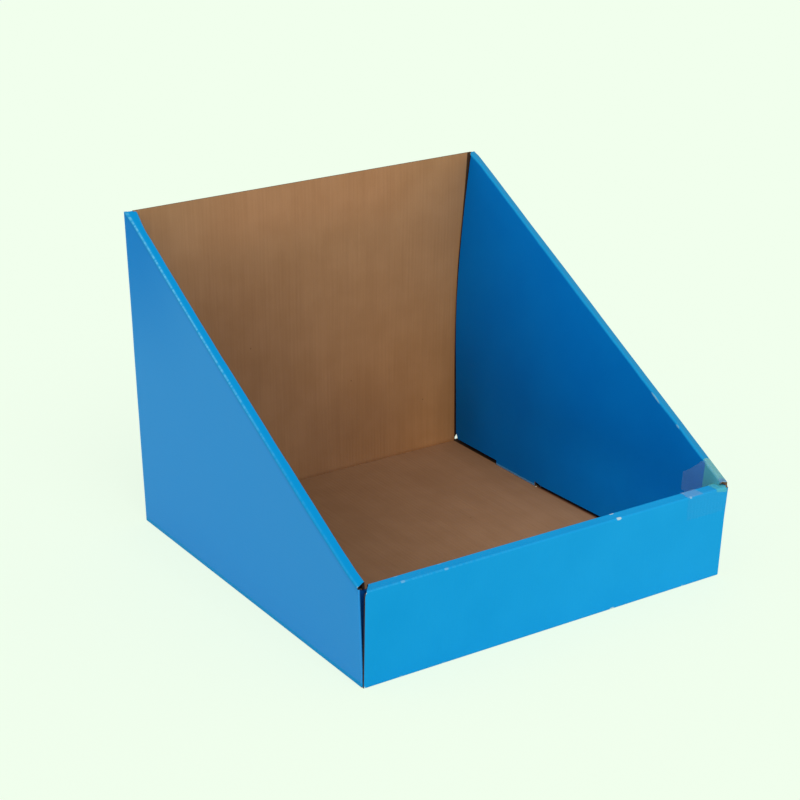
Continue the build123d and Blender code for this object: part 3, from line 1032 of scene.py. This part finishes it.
def film(sheet):
    """Clear film over the front right corner: on the front wall, the side's strip and its inner panel."""
    top = FRONT - OUTER_FOLD
    rows = []
    xs = spaced(FILM_LEFT, FRONT_HALF - 0.4, 3.0)

    def across(y, z, normal, walked, end):
        """A row on the front wall. The film's left edge is crooked."""
        row = []
        for x in xs:
            x = min(x, end)
            crooked = 1.2 * noise.noise(Vector((z * 0.2, walked * 0.1, 3))) if x == xs[0] else 0
            place = (x + front_slide(x, z) + crooked, y, z)
            row.append((place, (0, *normal), (x, -BASE_Y - walked), (FRONT_WALL_AT + x, 0)))
        rows.append(row)

    for z in spaced(FRONT - FILM_DROP, top, 3.0):
        across(FRONT_FACE + HALF_BOARD - FILM_OFF, z, (-1, 0), z, FRONT_HALF)
    turn = MID_FOLD + FILM_OFF
    for a in quarter(1):
        across(-BASE_Y - turn * cos(a), top + turn * sin(a), (-cos(a), sin(a)), top + turn * a, FRONT_HALF - 1)
    for y in spaced(-BASE_Y, INNER_FRONT - 0.4, 2.6)[1:]:
        across(y, FRONT - HALF_BOARD + FILM_OFF, (0, 1), top + y + BASE_Y + 1, STRIP_REACH[1] - 0.6)
    sheet.grid(rows)

    def climb(y):
        """Top edge of the film on the inner panel."""
        run = FRONT_FACE + FILM_REACH - y
        height, slope, bend = FILM_EDGE
        return min(inner_crease_at(1, y), height + slope * run + bend * run * run)

    columns = []
    for y in spaced(SIDE_FRONT + 2, FRONT_FACE + FILM_REACH, FILM_STEP, also=(INNER_FRONT + 0.5, INNER_START)):
        crease = inner_crease_at(1, y)
        low = FRONT + 0.4 if y < INNER_FRONT + 0.4 else FRONT - FILM_DROP + 3 + 0.4 * sin(y)
        column = []
        for i in range(9):
            z = mix(low, climb(y), i / 8)
            x = inner_x(1, y, z, crease) - FILM_OFF
            place = side_blank(y, z, STRIP_END + (crease - z) * COS)
            column.append(((x, y, z), (-1, 0, 0), place, (RIGHT_WALL + y, 0)))
        columns.append(column)
    sheet.grid(columns)

    # Over the strip: inner crease, level part, outer crease
    places = []
    turn = ROLL + FILM_OFF
    for a in quarter():
        normal = (-cos(a), -SIN * sin(a), COS * sin(a))
        places.append((STRIP_IN - turn * cos(a), -HALF_BOARD - ROLL + turn * sin(a), normal, STRIP_END - ROLL * a))
    for x in spaced(STRIP_IN, STRIP_OUT, 1.5)[1:]:
        walk = STRIP_END - 1.7 - (x - STRIP_IN)
        places.append((x, -HALF_BOARD + FILM_OFF, (STRIP_TILT[2], -SIN, COS), walk))
    turn = MID_FOLD + FILM_OFF
    for a in quarter(1)[:-1]:
        normal = (sin(a), -SIN * cos(a), COS * cos(a))
        places.append((STRIP_OUT + turn * sin(a), -OUTER_FOLD + turn * cos(a), normal, 0.4))
    ys = spaced(FILM_START, FRONT_FACE + FILM_CLIMB, FILM_STEP)
    sheet.grid([side_row(1, "film", *place, ys, FILM_START, REAR_FACE) for place in places])


def placed(name, data):
    """A new object in the scene."""
    made = bpy.data.objects.new(name, data)
    bpy.context.scene.collection.objects.link(made)
    return made


# The tray
tray_sheet = Sheet(BOARD)
base(tray_sheet)
front(tray_sheet)
back(tray_sheet)
for hand in (-1, 1):
    side(tray_sheet, hand)
    front_ear(tray_sheet, hand)
tray = placed("tray", tray_sheet.solid("tray"))
for made in (printed_board(), bare_board(), cut_board()):
    tray.data.materials.append(made)
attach(tray, "root")
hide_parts("display_box")

# The film, of one material all over
film_sheet = Sheet(FILM)
film(film_sheet)
clear = placed("clear", film_sheet.solid("clear"))
thin = clear_film()
for _ in range(3):
    clear.data.materials.append(thin)
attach(clear, "root")
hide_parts("corner_film")

# Floor: bright to the eye, and it takes the tray's shadow
FLOOR_COLOUR = srgb(241, 255, 237)
FLOOR_REACH = 30.0
FLOOR_GLOW, GLOW_SHARE = 1.05, 0.8
floor_mesh = bpy.data.meshes.new("floor")
floor_corners = [(x * FLOOR_REACH, y * FLOOR_REACH, 0) for x, y in ((-1, -1), (1, -1), (1, 1), (-1, 1))]
floor_mesh.from_pydata(floor_corners, [], [(0, 1, 2, 3)])
floor = placed("floor", floor_mesh)
floor_material, f = material("floor")
rays = f.new("LightPath").outputs
seen = f.math("MAXIMUM", rays["Is Camera Ray"], rays["Is Glossy Ray"])
seen = f.math("MAXIMUM", seen, rays["Is Transmission Ray"])
lit = f.new("BsdfDiffuse", {"Color": FLOOR_COLOUR})
plain = f.new("Emission", {"Color": FLOOR_COLOUR, "Strength": FLOOR_GLOW})
share = f.times(seen, GLOW_SHARE)
mixed = f.new("MixShader", {0: share, 1: lit.outputs[0], 2: plain.outputs[0]})
output = next(node for node in f.tree.nodes if node.type == "OUTPUT_MATERIAL")
f.put(output.inputs[0], mixed.outputs[0])
floor_mesh.materials.append(floor_material)

# Light: an even white sky and one wide, soft sun behind the camera, at its right
SKY_STRENGTH = 0.55
SUN_STRENGTH, SUN_WIDTH, SUN_TOWARDS = 1.04, 40, Vector((0.12, 0.65, -0.75))
world = bpy.data.worlds.new("World")
bpy.context.scene.world = world
world.use_nodes = True
sky = world.node_tree.nodes["Background"]
sky.inputs[0].default_value = (1, 1, 1, 1)
sky.inputs[1].default_value = SKY_STRENGTH
lamp = bpy.data.lights.new("key", "SUN")
lamp.energy = SUN_STRENGTH
lamp.angle = radians(SUN_WIDTH)
placed("key", lamp).rotation_euler = SUN_TOWARDS.to_track_quat("-Z", "Y").to_euler()

# Camera, fitted to the photograph: angles in radians, focal length in pixels, place in metres
YAW, PITCH, BANK = 0.557631, 0.363946, -0.0192765
FOCAL_PX, PICTURE_PX, SENSOR = 2010.95, 800.0, 36.0
CAMERA_AT = Vector((-0.83316, -1.30490, 0.72319))
look = Vector((sin(YAW) * cos(PITCH), cos(YAW) * cos(PITCH), -sin(PITCH)))
right = look.cross(Vector((0, 0, 1))).normalized()
above = right.cross(look)
turned_right = right * cos(BANK) + above * sin(BANK)
turned_up = above * cos(BANK) - right * sin(BANK)
lens = bpy.data.cameras.new("camera")
lens.lens = FOCAL_PX / PICTURE_PX * SENSOR
lens.sensor_width = SENSOR
lens.clip_end = 100
camera = placed("camera", lens)
camera.matrix_world = Matrix.Translation(CAMERA_AT) @ Matrix((turned_right, turned_up, -look)).transposed().to_4x4()
bpy.context.scene.camera = camera

bpy.context.scene.view_settings.view_transform = "Standard"
